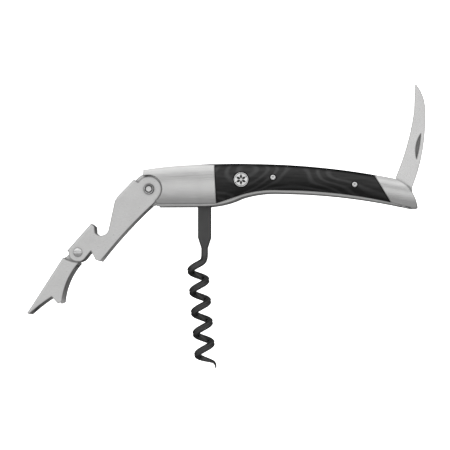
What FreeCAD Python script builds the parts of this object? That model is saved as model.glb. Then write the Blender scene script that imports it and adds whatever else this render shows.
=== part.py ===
"""Double-step waiter's corkscrew: one solid per physical piece, in millimetres.

Frame: the origin is the centre of the worm's pivot pin. X runs along the handle towards the tail,
Z is up, and Y runs across the handle, which is symmetric about Y = 0 apart from the blade's nick.
"""
import FreeCAD, Part
import math
import os

import Sketcher
from FreeCAD import Placement, Rotation, Vector

DIMENSIONS = {
    # across the handle, as half widths or thicknesses
    "gap_half": 5.4,          # inner face of each liner
    "liner_thick": 1.2,
    "cheek_thick": 1.6,       # bolsters and scales at their thickest
    "crown_drop": 1.0,        # how much thinner a cheek is at its edges
    "crown_low": 2.4,         # height where the cheek's flat land starts
    "crown_high": 8.4,        # height where the flat land ends
    "crown_reach": 9.5,       # height over which the cheek falls away beyond the land
    "liner_reveal": 1.15,     # liner standing below the cheeks along the belly
    "block_half": 3.75,       # narrow part of the head block
    # lever pivot and the parts turning on it
    "lever_x": -24.7,
    "lever_z": 3.96,
    "lever_dir": 221.4,       # degrees from +X, towards the foot pivot
    "lever_length": 42.9,     # between the two pivots
    "lever_half": 5.2,        # outer half width of the lever's channel
    "sheet": 1.15,            # sheet thickness of lever and foot
    "bend_radius": 1.0,        # outside of their folds
    "ear_radius": 5.6,
    "cheek_recess": 6.15,     # round recess of the cheeks about the ear
    "tongue_radius": 7.4,
    "lever_pin_radius": 1.6,
    "lever_head_radius": 2.4,
    "lever_head_height": 0.85,
    # foot
    "foot_dir": 230.4,
    "foot_length": 35.6,
    "foot_half": 6.5,         # outer half width of the foot's channel
    "neck_half": 3.8,         # outer half width of the foot's neck
    "foot_pin_radius": 1.3,
    "foot_head_radius": 2.05,
    "foot_head_height": 0.8,
    # worm
    "tang_radius": 3.3,
    "shank_width": 6.0,
    "shank_thick": 3.2,
    "shank_length": 17.8,
    "wire_radius": 1.55,
    "coil_radius": 3.2,       # centre line of the wire
    "coil_pitch": 9.45,
    "coil_turns": 5.0,
    "coil_start": 27.6,       # below the pivot
    "coil_tilt": 4.8,         # degrees
    "worm_pin_radius": 1.5,
    # blade
    "blade_x": 90.1,
    "blade_z": 2.5,
    "blade_thick": 1.8,
    "slot_half": 1.2,
    "blade_pin_radius": 1.25,
    "blade_pin_half": 4.7,    # half length
    "spring_rivet_radius": 1.0,
    # washers beside the turning parts
    "worm_washer_thick": 0.21,
    "washer_thick": 0.24,
    "blade_washer_radius": 3.0,
    "lever_washer_radius": 5.0,
    # scale fittings
    "rosette_radius": 3.3,
    "scale_pin_radius": 1.22,
    "running": 0.05,          # radial clearance of every turning hole
}

# Side profile of the handle, as (x, z) corners and the points its arcs pass through.
TOP_FRONT = (-27.0, 12.4)
TOP_CREST = (24.2, 14.8)
TOP_TAIL = (85.4, 8.0)
TAIL_TIP = (95.7, -4.4)
TAIL_HEEL = (92.6, -5.2)
BELLY_RISE = (35.0, 1.9)
BELLY_BEND = (17.0, -0.1)
BELLY_FRONT = (1.0, -3.9)
BELLY_CORNER = (-20.8, -3.9)

doc = FreeCAD.newDocument("WaitersCorkscrew")
sheet = doc.addObject("Spreadsheet::Sheet", "Dimensions")
for row, (alias, number) in enumerate(DIMENSIONS.items(), start=1):
    sheet.set(f"A{row}", alias)
    sheet.set(f"B{row}", str(number))
    sheet.setAlias(f"B{row}", alias)
doc.recompute()


def dim(alias):
    """The current value of one named cell."""
    return float(sheet.get(alias))


PIECES = []


def new_body(label):
    """An empty PartDesign body that will be written as one piece."""
    body = doc.addObject("PartDesign::Body", label)
    body.Label = label
    PIECES.append(body)
    return body


def origin_plane(body, role):
    return next(item for item in body.Origin.OriginFeatures if item.Role == role)


def new_sketch(body, name, role="XZ_Plane", offset="0"):
    """A sketch on one of the body's origin planes, moved along its normal by an expression."""
    sketch = body.newObject("Sketcher::SketchObject", name)
    sketch.AttachmentSupport = [(origin_plane(body, role), "")]
    sketch.MapMode = "FlatFace"
    sketch.setExpression("AttachmentOffset.Base.z", offset)
    return sketch


def hold_arc_centre(sketch, index, arc):
    """Fix the arc's one freedom left by its ends: its centre's place along their bisector."""
    chord = arc.EndPoint.sub(arc.StartPoint)
    if abs(chord.y) > abs(chord.x):
        constraint = Sketcher.Constraint("DistanceX", -1, 1, index, 3, arc.Center.x)
    else:
        constraint = Sketcher.Constraint("DistanceY", -1, 1, index, 3, arc.Center.y)
    sketch.addConstraint(constraint)


def turns_left(a, b, c):
    return (b[0] - a[0]) * (c[1] - b[1]) - (b[1] - a[1]) * (c[0] - b[0]) > 0


def outline(sketch, start, *steps):
    """Close a loop from start through steps: ("line", end) or ("arc", middle, end)."""
    here = start
    ends = []
    for kind, *points in steps:
        there = points[-1]
        if kind == "line":
            geometry = Part.LineSegment(Vector(*here, 0), Vector(*there, 0))
            index = sketch.addGeometry(geometry, False)
            ends.append((index, 1, 2))
        else:
            middle = points[0]
            forward = turns_left(here, middle, there)
            first, last = (here, there) if forward else (there, here)
            arc = Part.Arc(Vector(*first, 0), Vector(*middle, 0), Vector(*last, 0))
            index = sketch.addGeometry(arc, False)
            ends.append((index, 1, 2) if forward else (index, 2, 1))
            hold_arc_centre(sketch, index, sketch.Geometry[index])
        first_index, first_end, _ = ends[-1]
        for axis, value in (("DistanceX", here[0]), ("DistanceY", here[1])):
            sketch.addConstraint(
                Sketcher.Constraint(axis, -1, 1, first_index, first_end, value))
        here = there
    for (index, _, end), (next_index, begin, _) in zip(ends, ends[1:] + ends[:1]):
        sketch.addConstraint(Sketcher.Constraint("Coincident", index, end, next_index, begin))


def circle(sketch, centre, radius):
    """A circle whose centre and radius are expressions in the sheet's names."""
    x, z = (sketch.evalExpression(text) for text in centre)
    index = sketch.addGeometry(Part.Circle(Vector(x, z, 0), Vector(0, 0, 1), 1.0), False)
    for axis, value, text in (("DistanceX", x, centre[0]), ("DistanceY", z, centre[1])):
        number = sketch.addConstraint(Sketcher.Constraint(axis, -1, 1, index, 3, value))
        sketch.setExpression(f"Constraints[{number}]", text)
    number = sketch.addConstraint(Sketcher.Constraint("Radius", index, 1.0))
    sketch.setExpression(f"Constraints[{number}]", radius)


def pad(body, sketch, length, both_sides=False):
    feature = body.newObject("PartDesign::Pad", sketch.Name + "_pad")
    feature.Profile = sketch
    feature.setExpression("Length", length)
    if both_sides:
        feature.SideType = "Symmetric"
    sketch.Visibility = False
    doc.recompute()
    return feature


def pocket(body, sketch, length=None):
    """Cut a sketch through the body, or by a length to each side of it."""
    before = body.Shape.Volume
    feature = body.newObject("PartDesign::Pocket", sketch.Name + "_pocket")
    feature.Profile = sketch
    feature.SideType = "Symmetric"
    if length is None:
        feature.Type = "ThroughAll"
    else:
        feature.Type = "Length"
        feature.setExpression("Length", length)
    doc.recompute()
    if body.Shape.Volume > before - 1e-3:
        raise ValueError(f"{feature.Name} cuts nothing from {body.Label}")
    return feature


def round_bend(body, ends, half, radius):
    """Round the two long outside edges of a folded web that runs between two corners."""
    corners = [Vector(x, side * half, z) for side in (-1, 1) for x, z in ends]
    pairs = (corners[:2], corners[2:])
    names = []
    for number, edge in enumerate(body.Shape.Edges, start=1):
        first, last = edge.Vertexes[0].Point, edge.Vertexes[-1].Point
        for pair in pairs:
            straight = first.distanceToPoint(pair[0]) + last.distanceToPoint(pair[1])
            turned = first.distanceToPoint(pair[1]) + last.distanceToPoint(pair[0])
            if min(straight, turned) < 0.01:
                names.append(f"Edge{number}")
    if len(names) != 2:
        raise ValueError(f"{body.Label}: expected two bend edges, found {len(names)}")
    solid = body.Tip
    feature = body.newObject("PartDesign::Fillet", f"{body.Name}_bend")
    feature.Base = (solid, names)
    feature.setExpression("Radius", radius)
    doc.recompute()


def mirrored(source, label):
    """The same piece on the other side of the handle."""
    twin = doc.addObject("Part::Mirroring", label)
    twin.Label = label
    twin.Source = source
    twin.Base = Vector(0, 0, 0)
    twin.Normal = Vector(0, 1, 0)
    PIECES.append(twin)
    return twin


def polar(origin, direction, along, across=0.0):
    """A point given along and across (to the left of) a direction in degrees."""
    angle = math.radians(direction)
    return (origin[0] + along * math.cos(angle) - across * math.sin(angle),
            origin[1] + along * math.sin(angle) + across * math.cos(angle))


def on_circle(centre, radius, degrees):
    return polar(centre, degrees, radius)


def down(point, drop):
    return (point[0], point[1] - drop)


def raised(point):
    """A belly point of the liner lifted to the cheeks' lower edge."""
    return down(point, -dim("liner_reveal"))


LEVER_PIVOT = (dim("lever_x"), dim("lever_z"))
BLADE_PIVOT = (dim("blade_x"), dim("blade_z"))
FOOT_PIVOT = polar(LEVER_PIVOT, dim("lever_dir"), dim("lever_length"))
LEVER_AXIS = ("Dimensions.lever_x", "Dimensions.lever_z")
BLADE_AXIS = ("Dimensions.blade_x", "Dimensions.blade_z")
FOOT_AXIS = (
    "Dimensions.lever_x + Dimensions.lever_length * cos(Dimensions.lever_dir * 1 deg)",
    "Dimensions.lever_z + Dimensions.lever_length * sin(Dimensions.lever_dir * 1 deg)")
WORM_AXIS = ("0", "0")
SPRING_AXIS = ("31.4", "7.0")
CHEEK_FACE = "Dimensions.gap_half + Dimensions.liner_thick"

# Where the cheeks meet: the front bolster's rear edge and the tail bolster's front edge.
FRONT_SEAM = ((5.0, 14.5), (5.85, -2.6))
TAIL_SEAM = ((76.5, 9.7), (84.0, -2.6))
LINER_END = ((80.6, 8.9), (88.7, -4.4))
SEAM_GAP = 0.15
REACH = 30.0


def recess_start():
    """Where the round recess about the lever's ear meets the handle's front edge."""
    across = TOP_FRONT[0] - LEVER_PIVOT[0]
    return (TOP_FRONT[0], LEVER_PIVOT[1] + math.sqrt(dim("cheek_recess") ** 2 - across ** 2))


def recess_end(corner):
    """The recess leaves for the belly corner along a short straight edge."""
    angle = math.degrees(math.atan2(corner[1] - LEVER_PIVOT[1], corner[0] - LEVER_PIVOT[0]))
    return on_circle(LEVER_PIVOT, dim("cheek_recess"), angle)


def belly(lift):
    """Belly steps from the rise behind the finger notch forward to the front corner."""
    return [("arc", down((25.7, 1.7), -lift), down(BELLY_BEND, -lift)),
            ("arc", down((8.6, -3.0), -lift), down(BELLY_FRONT, -lift)),
            ("line", down(BELLY_CORNER, -lift))]


def front_edge(corner):
    """From the belly corner round the ear's recess to the top of the front edge."""
    return [("line", recess_end(corner)),
            ("arc", on_circle(LEVER_PIVOT, dim("cheek_recess"), 10.0), recess_start()),
            ("line", TOP_FRONT)]


def crown(body):
    """Round the outside of a cheek: a flat land with a long fall to both edges."""
    face = dim("gap_half") + dim("liner_thick") + dim("cheek_thick")
    low, high = dim("crown_low"), dim("crown_high")
    reach, drop = dim("crown_reach"), dim("crown_drop")
    sketch = new_sketch(body, body.Name + "_crown", "YZ_Plane")
    outline(sketch, (-face, low),
            ("arc", (-face + drop * 0.25, low - reach / 2), (-face + drop, low - reach)),
            ("line", (-face - 2, low - reach)),
            ("line", (-face - 2, high + reach)),
            ("line", (-face + drop, high + reach)),
            ("arc", (-face + drop * 0.25, high + reach / 2), (-face, high)),
            ("line", (-face, low)))
    pocket(body, sketch)


def cheek(label, *steps, start, crowned=True):
    """A bolster or scale lying on the near liner, closed over its own side outline."""
    body = new_body(label)
    sketch = new_sketch(body, label + "_outline", offset=CHEEK_FACE)
    outline(sketch, start, *steps)
    pad(body, sketch, "Dimensions.cheek_thick")
    if crowned:
        crown(body)
    return body


def make_liners():
    body = new_body("left_liner")
    sketch = new_sketch(body, "liner_outline", offset="Dimensions.gap_half")
    outline(sketch, TOP_FRONT,
            ("arc", (-4.6, 14.6), TOP_CREST),
            ("arc", (53.0, 13.0), LINER_END[0]),
            ("line", LINER_END[1]),
            ("arc", (60.0, 0.35), BELLY_RISE),
            *belly(0.0), *front_edge(BELLY_CORNER))
    pad(body, sketch, "Dimensions.liner_thick")
    mirrored(body, "right_liner")


def make_front_bolsters():
    corner = raised(BELLY_CORNER)
    body = cheek("left_front_bolster",
                 ("arc", (-10.5, 14.25), FRONT_SEAM[0]),
                 ("line", FRONT_SEAM[1]),
                 ("line", raised(BELLY_FRONT)),
                 ("line", corner),
                 *front_edge(corner), start=TOP_FRONT)
    mirrored(body, "right_front_bolster")


def make_scales():
    top = (FRONT_SEAM[0][0] + SEAM_GAP, FRONT_SEAM[0][1])
    rise = raised(BELLY_RISE)
    body = cheek("left_scale",
                 ("arc", (16.0, 14.82), TOP_CREST),
                 ("arc", (50.0, 13.3), (TAIL_SEAM[0][0] - SEAM_GAP, TAIL_SEAM[0][1])),
                 ("line", (TAIL_SEAM[1][0] - SEAM_GAP, TAIL_SEAM[1][1])),
                 ("arc", raised((60.0, 0.35)), rise),
                 ("arc", raised((25.7, 1.7)), raised(BELLY_BEND)),
                 ("line", (FRONT_SEAM[1][0] + SEAM_GAP, FRONT_SEAM[1][1])),
                 ("line", top), start=top)
    fitting_holes(body)
    mirrored(body, "right_scale")


ROSETTE_AXIS = ("17.1", "7.8")
FRONT_PIN_AXIS = ("31.4", "8.7")
REAR_PIN_AXIS = ("67.9", "5.3")


def fitting_holes(body):
    """Holes through a scale for its round inlay and its two pins."""
    sketch = new_sketch(body, "scale_holes", offset=CHEEK_FACE)
    circle(sketch, ROSETTE_AXIS, "Dimensions.rosette_radius")
    circle(sketch, FRONT_PIN_AXIS, "Dimensions.scale_pin_radius")
    circle(sketch, REAR_PIN_AXIS, "Dimensions.scale_pin_radius")
    pocket(body, sketch)


def make_tail_bolsters():
    """A cheek over the liner's end, in one piece with the block that holds the blade pin."""
    body = cheek("left_tail_bolster",
                 ("line", TOP_TAIL),
                 ("arc", (92.3, 3.4), TAIL_TIP),
                 ("line", (95.1, -5.0)),
                 ("line", TAIL_HEEL),
                 ("line", TAIL_SEAM[1]),
                 ("line", TAIL_SEAM[0]), start=TAIL_SEAM[0], crowned=False)
    block = new_sketch(body, "tail_block", offset="Dimensions.slot_half")
    outline(block, (LINER_END[0][0] + 0.1, LINER_END[0][1]),
            ("line", TOP_TAIL),
            ("arc", (92.3, 3.4), TAIL_TIP),
            ("line", (95.1, -5.0)),
            ("line", TAIL_HEEL),
            ("line", (LINER_END[1][0] + 0.1, LINER_END[1][1])),
            ("line", (LINER_END[0][0] + 0.1, LINER_END[0][1])))
    pad(body, block, CHEEK_FACE + " - Dimensions.slot_half")
    crown(body)
    hole = new_sketch(body, "blade_pin_hole", offset="Dimensions.slot_half")
    circle(hole, BLADE_AXIS, "Dimensions.blade_pin_radius")
    pocket(body, hole, "2 * (Dimensions.blade_pin_half - Dimensions.slot_half)")
    mirrored(body, "right_tail_bolster")


# Inside the handle: where the spacer starts and steps down, the underside of the wide
# parts between the liners, and the front of the slot that the worm's tang turns in.
SPACER_FRONT = 12.0
SPACER_STEP = 36.0
SPACER_FLOOR = 4.2
SHOULDER = 10.3
OVERLAP = 0.6
TANG_SLOT = (-3.7, 7.6)
BLOCK_REAR = 5.2
BLADE_SLOT_FRONT = 39.5


def make_head_block():
    """Wide along the top between the liners, narrow below where the lever's ears pass it."""
    body = new_body("head_block")
    wide = new_sketch(body, "head_wide")
    outline(wide, TOP_FRONT,
            ("arc", (-7.5, 14.4), (SPACER_FRONT, 14.85)),
            ("line", (SPACER_FRONT, SHOULDER)),
            ("line", (TOP_FRONT[0], SHOULDER)),
            ("line", TOP_FRONT))
    pad(body, wide, "2 * Dimensions.gap_half", both_sides=True)
    narrow = new_sketch(body, "head_narrow")
    reach = dim("tongue_radius")
    low = -2.6
    tangent_x = LEVER_PIVOT[0] + math.sqrt(reach ** 2 - (low - LEVER_PIVOT[1]) ** 2)
    outline(narrow, (TOP_FRONT[0] + 0.5, SHOULDER + OVERLAP),
            ("line", (BLOCK_REAR, SHOULDER + OVERLAP)),
            ("line", (BLOCK_REAR, low)),
            ("line", (tangent_x, low)),
            ("arc", on_circle(LEVER_PIVOT, reach, 180.0), (TOP_FRONT[0] + 0.5, SHOULDER + OVERLAP)))
    pad(body, narrow, "2 * Dimensions.block_half", both_sides=True)
    slot = new_sketch(body, "head_slot")
    outline(slot, (TANG_SLOT[0], -REACH),
            ("line", (REACH, -REACH)),
            ("line", (REACH, TANG_SLOT[1])),
            ("line", TANG_SLOT),
            ("line", (TANG_SLOT[0], -REACH)))
    pocket(body, slot, "Dimensions.shank_thick + 0.5")
    holes = new_sketch(body, "head_holes")
    circle(holes, LEVER_AXIS, "Dimensions.lever_pin_radius + Dimensions.running")
    circle(holes, WORM_AXIS, "Dimensions.worm_pin_radius")
    pocket(body, holes)


def make_back_spacer():
    """Closes the back between the liners, with a slot that the blade folds into."""
    body = new_body("back_spacer")
    sketch = new_sketch(body, "spacer_outline")
    outline(sketch, (SPACER_FRONT, 14.8),
            ("line", TOP_CREST),
            ("arc", (53.0, 13.0), LINER_END[0]),
            ("line", (83.5, SPACER_FLOOR)),
            ("line", (SPACER_STEP, SPACER_FLOOR)),
            ("line", (SPACER_STEP - 2, SHOULDER)),
            ("line", (SPACER_FRONT, SHOULDER)),
            ("line", (SPACER_FRONT, 14.8)))
    pad(body, sketch, "2 * Dimensions.gap_half", both_sides=True)
    slot = new_sketch(body, "blade_slot")
    outline(slot, (BLADE_SLOT_FRONT, -5.0),
            ("line", (REACH * 4, -5.0)),
            ("line", (REACH * 4, REACH)),
            ("line", (BLADE_SLOT_FRONT, REACH)),
            ("line", (BLADE_SLOT_FRONT, -5.0)))
    pocket(body, slot, "2 * Dimensions.slot_half")


def make_worm_spring():
    """Bar spring whose nose bears on the worm's tang."""
    body = new_body("worm_spring")
    sketch = new_sketch(body, "spring_outline")
    nose = dim("tang_radius") + 0.05
    outline(sketch, (-2.2, nose),
            ("line", (1.5, nose)),
            ("arc", (14.0, 5.2), (29.0, 5.6)),
            ("line", (33.6, 5.9)),
            ("line", (33.6, 8.2)),
            ("line", (29.0, 8.2)),
            ("arc", (14.0, 7.3), (1.5, 5.3)),
            ("line", (-2.2, 4.9)),
            ("line", (-2.2, nose)))
    pad(body, sketch, "Dimensions.shank_thick + 0.2", both_sides=True)
    hole = new_sketch(body, "spring_hole")
    circle(hole, SPRING_AXIS, "Dimensions.spring_rivet_radius + Dimensions.running")
    pocket(body, hole)


def turned_pin(label, radius, half_length, axis, head_radius=None, head_height=None):
    """A straight pin across the handle, with a flat head on each end where it is riveted."""
    body = new_body(label)
    sketch = new_sketch(body, label + "_shaft")
    circle(sketch, axis, radius)
    pad(body, sketch, f"2 * ({half_length})", both_sides=True)
    if head_radius:
        for side, start in (("near", half_length), ("far", f"-({half_length}) - ({head_height})")):
            head = new_sketch(body, f"{label}_{side}_head", offset=start)
            circle(head, axis, head_radius)
            pad(body, head, head_height)
    return body


def washers(label, axis, hole, rim, inner_face, thick):
    """A matched pair of flat washers, one on each side of a turning part."""
    rings = []
    for side in (-1, 1):
        ring = doc.addObject("Part::Cut", f"{label}_{'near' if side < 0 else 'far'}")
        disc = doc.addObject("Part::Cylinder", ring.Name + "_disc")
        bore = doc.addObject("Part::Cylinder", ring.Name + "_bore")
        for solid, radius in ((disc, rim), (bore, hole)):
            solid.setExpression("Radius", radius)
            solid.setExpression("Height", thick)
            solid.Placement = Placement(Vector(0, 0, 0), Rotation(Vector(1, 0, 0), -90 * side))
            solid.setExpression("Placement.Base.x", axis[0])
            solid.setExpression("Placement.Base.z", axis[1])
            solid.setExpression("Placement.Base.y", f"{side} * ({inner_face})")
        ring.Base = disc
        ring.Tool = bore
        rings.append(ring)
    pair = doc.addObject("Part::Compound", label)
    pair.Label = label
    pair.Links = rings
    PIECES.append(pair)


def inlay(label, axis, radius, height):
    """A short round plug standing on the near liner's outer face."""
    body = new_body(label)
    sketch = new_sketch(body, label + "_outline", offset=CHEEK_FACE)
    circle(sketch, axis, radius)
    pad(body, sketch, height)
    return body


def make_fittings():
    """Round inlays, scale pins, pivot pins and washers."""
    flush = "Dimensions.cheek_thick"
    mirrored(inlay("left_rosette", ROSETTE_AXIS, "Dimensions.rosette_radius", flush),
             "right_rosette")
    for place, axis in (("front", FRONT_PIN_AXIS), ("rear", REAR_PIN_AXIS)):
        pin = inlay(f"left_{place}_scale_pin", axis, "Dimensions.scale_pin_radius",
                    flush + " - 0.02")
        mirrored(pin, f"right_{place}_scale_pin")
    turned_pin("worm_pin", "Dimensions.worm_pin_radius", "Dimensions.block_half", WORM_AXIS)
    washers("worm_washers", WORM_AXIS, "Dimensions.worm_pin_radius + Dimensions.running",
            "Dimensions.tang_radius - 0.2", "Dimensions.shank_thick / 2 + 0.02",
            "Dimensions.worm_washer_thick")
    turned_pin("spring_rivet", "Dimensions.spring_rivet_radius", "Dimensions.gap_half",
               SPRING_AXIS)
    turned_pin("blade_pin", "Dimensions.blade_pin_radius", "Dimensions.blade_pin_half",
               BLADE_AXIS)
    washers("blade_washers", BLADE_AXIS, "Dimensions.blade_pin_radius + Dimensions.running",
            "Dimensions.blade_washer_radius", "Dimensions.blade_thick / 2 + 0.04",
            "Dimensions.washer_thick")
    turned_pin("lever_pin", "Dimensions.lever_pin_radius", "Dimensions.lever_half + 0.02",
               LEVER_AXIS, "Dimensions.lever_head_radius", "Dimensions.lever_head_height")
    washers("lever_washers", LEVER_AXIS, "Dimensions.lever_pin_radius + Dimensions.running",
            "Dimensions.lever_washer_radius", "Dimensions.block_half + 0.02",
            "Dimensions.washer_thick")
    turned_pin("foot_pin", "Dimensions.foot_pin_radius", "Dimensions.lever_half",
               FOOT_AXIS, "Dimensions.foot_head_radius", "Dimensions.foot_head_height")


def lever_point(along, across):
    return polar(LEVER_PIVOT, dim("lever_dir"), along, across)


def foot_point(along, across):
    return polar(FOOT_PIVOT, dim("foot_dir"), along, across)


def make_lever():
    """Folded channel: two walls joined by a back web, with a cap-lifter hook and a step."""
    body = new_body("lever")
    ear, foot_ear = dim("ear_radius"), 4.2
    length, thick = dim("lever_length"), dim("sheet")
    web_top, web_bend = (2.3, -7.8), (12.7, -7.05)
    web_hook, web_end = (29.9, -5.8), (length + 3.5, -3.8)
    side = new_sketch(body, "lever_side")
    outline(side, on_circle(LEVER_PIVOT, ear, 150.0),
            ("arc", on_circle(LEVER_PIVOT, ear, 40.0), lever_point(-1.9, 5.27)),
            ("line", lever_point(1.2, 6.2)),
            ("arc", lever_point(18.0, 7.0), lever_point(38.0, 9.8)),
            ("line", lever_point(39.1, 7.9)),
            ("line", lever_point(length - 5.0, 3.4)),
            ("line", lever_point(length, foot_ear)),
            ("arc", lever_point(length + foot_ear, 0.0), lever_point(length + 2.6, -3.3)),
            ("line", lever_point(*web_end)),
            ("line", lever_point(*web_hook)),
            ("line", lever_point(29.6, -3.8)),
            ("line", lever_point(30.2, -3.0)),
            ("line", lever_point(31.3, -1.6)),
            ("arc", lever_point(28.6, 2.1), lever_point(25.3, 1.3)),
            ("line", lever_point(15.0, -6.3)),
            ("line", lever_point(*web_bend)),
            ("line", lever_point(*web_top)),
            ("line", on_circle(LEVER_PIVOT, ear, 150.0)))
    pad(body, side, "2 * Dimensions.lever_half", both_sides=True)
    inside = new_sketch(body, "lever_inside")
    outline(inside, lever_point(-ear - 3, 14.0),
            ("line", lever_point(-ear - 3, web_top[1] + thick)),
            ("line", lever_point(web_top[0], web_top[1] + thick)),
            ("line", lever_point(web_bend[0], web_bend[1] + thick)),
            ("line", lever_point(web_bend[0] + 0.8, -14.0)),
            ("line", lever_point(web_hook[0] - 0.4, -14.0)),
            ("line", lever_point(web_hook[0] - 0.4, web_hook[1] + thick)),
            ("line", lever_point(web_end[0] + 3, web_end[1] + thick)),
            ("line", lever_point(web_end[0] + 3, 14.0)),
            ("line", lever_point(-ear - 3, 14.0)))
    pocket(body, inside, "2 * (Dimensions.lever_half - Dimensions.sheet)")
    tongue_room = new_sketch(body, "tongue_room")
    circle(tongue_room, LEVER_AXIS, "Dimensions.tongue_radius + 0.2")
    pocket(body, tongue_room, "2 * (Dimensions.lever_half - Dimensions.sheet)")
    holes = new_sketch(body, "lever_holes")
    circle(holes, LEVER_AXIS, "Dimensions.lever_pin_radius + Dimensions.running")
    circle(holes, FOOT_AXIS, "Dimensions.foot_pin_radius")
    pocket(body, holes)
    for ends in ((web_top, web_bend), (web_hook, web_end)):
        round_bend(body, [lever_point(*end) for end in ends], dim("lever_half"),
                   "Dimensions.bend_radius")


def make_foot():
    """Second step: a neck between the lever's ears, stepping out to a wider folded channel."""
    body = new_body("foot")
    thick, neck = dim("sheet"), 2.85
    heel, tip = (6.05, -3.64), (dim("foot_length"), 0.0)
    wide = new_sketch(body, "foot_wide")
    outline(wide, foot_point(*heel),
            ("line", foot_point(tip[0] - 0.6, tip[1] - 0.25)),
            ("arc", foot_point(tip[0], 0.35), foot_point(tip[0] - 0.6, 0.8)),
            ("arc", foot_point(27.6, 2.3), foot_point(22.7, 3.7)),
            ("line", foot_point(23.4, 7.9)),
            ("line", foot_point(21.7, 8.8)),
            ("arc", foot_point(12.6, 4.5), foot_point(3.3, 3.4)),
            ("arc", foot_point(5.0, 0.4), foot_point(*heel)))
    pad(body, wide, "2 * Dimensions.foot_half", both_sides=True)
    inside = new_sketch(body, "foot_inside")
    outline(inside, foot_point(7.2, heel[1] + thick * 1.05),
            ("line", foot_point(tip[0] - 2.2, 0.75)),
            ("line", foot_point(tip[0] + 5, 14.0)),
            ("line", foot_point(4.4, 14.0)),
            ("line", foot_point(4.4, 4.0)),
            ("arc", foot_point(6.15, 0.9), foot_point(7.2, heel[1] + thick * 1.05)))
    pocket(body, inside, "2 * (Dimensions.foot_half - Dimensions.sheet)")
    narrow = new_sketch(body, "foot_neck")
    outline(narrow, foot_point(0.0, -neck),
            ("line", foot_point(3.0, -2.5)),
            ("line", foot_point(6.2, -3.3)),
            ("arc", foot_point(5.6, 0.6), foot_point(4.2, 3.3)),
            ("line", foot_point(0.0, neck)),
            ("arc", foot_point(-neck, 0.0), foot_point(0.0, -neck)))
    pad(body, narrow, "2 * Dimensions.neck_half", both_sides=True)
    clear = new_sketch(body, "neck_inside")
    outline(clear, foot_point(-neck - 1, -6.0),
            ("line", foot_point(5.5, -6.0)),
            ("line", foot_point(9.0, heel[1] + thick * 1.3)),
            ("line", foot_point(9.0, 9.0)),
            ("line", foot_point(-neck - 1, 9.0)),
            ("line", foot_point(-neck - 1, -6.0)))
    pocket(body, clear, "2 * (Dimensions.neck_half - Dimensions.sheet)")
    hole = new_sketch(body, "foot_hole")
    circle(hole, FOOT_AXIS, "Dimensions.foot_pin_radius + Dimensions.running")
    pocket(body, hole)
    round_bend(body, [foot_point(*heel), foot_point(tip[0] - 0.6, tip[1] - 0.25)],
               dim("foot_half"), "Dimensions.bend_radius")


def coil_point(turns, radius=None):
    """Centre of the wire so many turns down the coil, whose axis leans towards the tail."""
    radius = dim("coil_radius") if radius is None else radius
    lean = math.radians(dim("coil_tilt"))
    sideways = Vector(math.cos(lean), 0, math.sin(lean))
    downwards = Vector(math.sin(lean), 0, -math.cos(lean))
    top = Vector(0, 0, -dim("coil_start")) - sideways * dim("coil_radius")
    turn = 2 * math.pi * turns
    return (top + sideways * (radius * math.cos(turn)) - Vector(0, radius * math.sin(turn), 0)
            + downwards * (dim("coil_pitch") * turns))


def coil_shape():
    """Round wire from the shank's neck down the coil, ground to a point at its rim."""
    wire, neck_low = dim("wire_radius"), -dim("coil_start") + 4.2
    steps, point_turns = 12, 0.85
    even_turns = dim("coil_turns") - point_turns
    path_points = [Vector(0, 0, neck_low + 3.6), Vector(0, 0, neck_low + 1.8),
                   Vector(0, 0, neck_low)]
    lead_in = 0.14
    count = round((even_turns - lead_in) * steps)
    path_points += [coil_point(lead_in + (even_turns - lead_in) * i / count)
                    for i in range(count + 1)]
    path = Part.BSplineCurve()
    path.interpolate(path_points)
    section = Part.Wire([Part.makeCircle(wire, path_points[0], Vector(0, 0, 1))])
    even = Part.Wire([path.toShape()]).makePipeShell([section], True, False)
    sections = []
    stations = 9
    rim = dim("coil_radius") + wire
    begin = even_turns - 0.06
    for i in range(stations + 1):
        share = i / stations
        thin = 0.985 * wire + (0.12 - 0.985 * wire) * share ** 1.4
        turns = begin + (dim("coil_turns") - begin) * share
        centre = coil_point(turns, rim - thin - 0.01)
        ahead = coil_point(turns + 0.01, rim - thin - 0.01) - centre
        sections.append(Part.Wire([Part.makeCircle(thin, centre, ahead)]))
    point = Part.makeLoft(sections, True, False)
    return even.fuse(point)


def make_worm():
    """Flat shank with a round tang, and the coil swept from its neck."""
    shank = doc.addObject("PartDesign::Body", "worm_shank")
    side = new_sketch(shank, "shank_side")
    tang, half = dim("tang_radius"), dim("shank_width") / 2
    low, neck = -dim("shank_length"), 1.75
    tang_edge = -math.sqrt(tang ** 2 - half ** 2)
    outline(side, (-half, tang_edge),
            ("line", (-half, low)),
            ("arc", (-2.35, low - 2.0), (-neck, low - 4.9)),
            ("line", (neck, low - 4.9)),
            ("arc", (2.35, low - 2.0), (half, low)),
            ("line", (half, tang_edge)),
            ("arc", (0.0, tang), (-half, tang_edge)))
    pad(shank, side, "Dimensions.shank_thick", both_sides=True)
    hole = new_sketch(shank, "worm_hole")
    circle(hole, WORM_AXIS, "Dimensions.worm_pin_radius + Dimensions.running")
    pocket(shank, hole)
    coil = doc.addObject("Part::Feature", "worm_coil")
    coil.Shape = coil_shape()
    worm = doc.addObject("Part::Fuse", "worm")
    worm.Label = "worm"
    worm.Base = shank
    worm.Tool = coil
    PIECES.append(worm)


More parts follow.
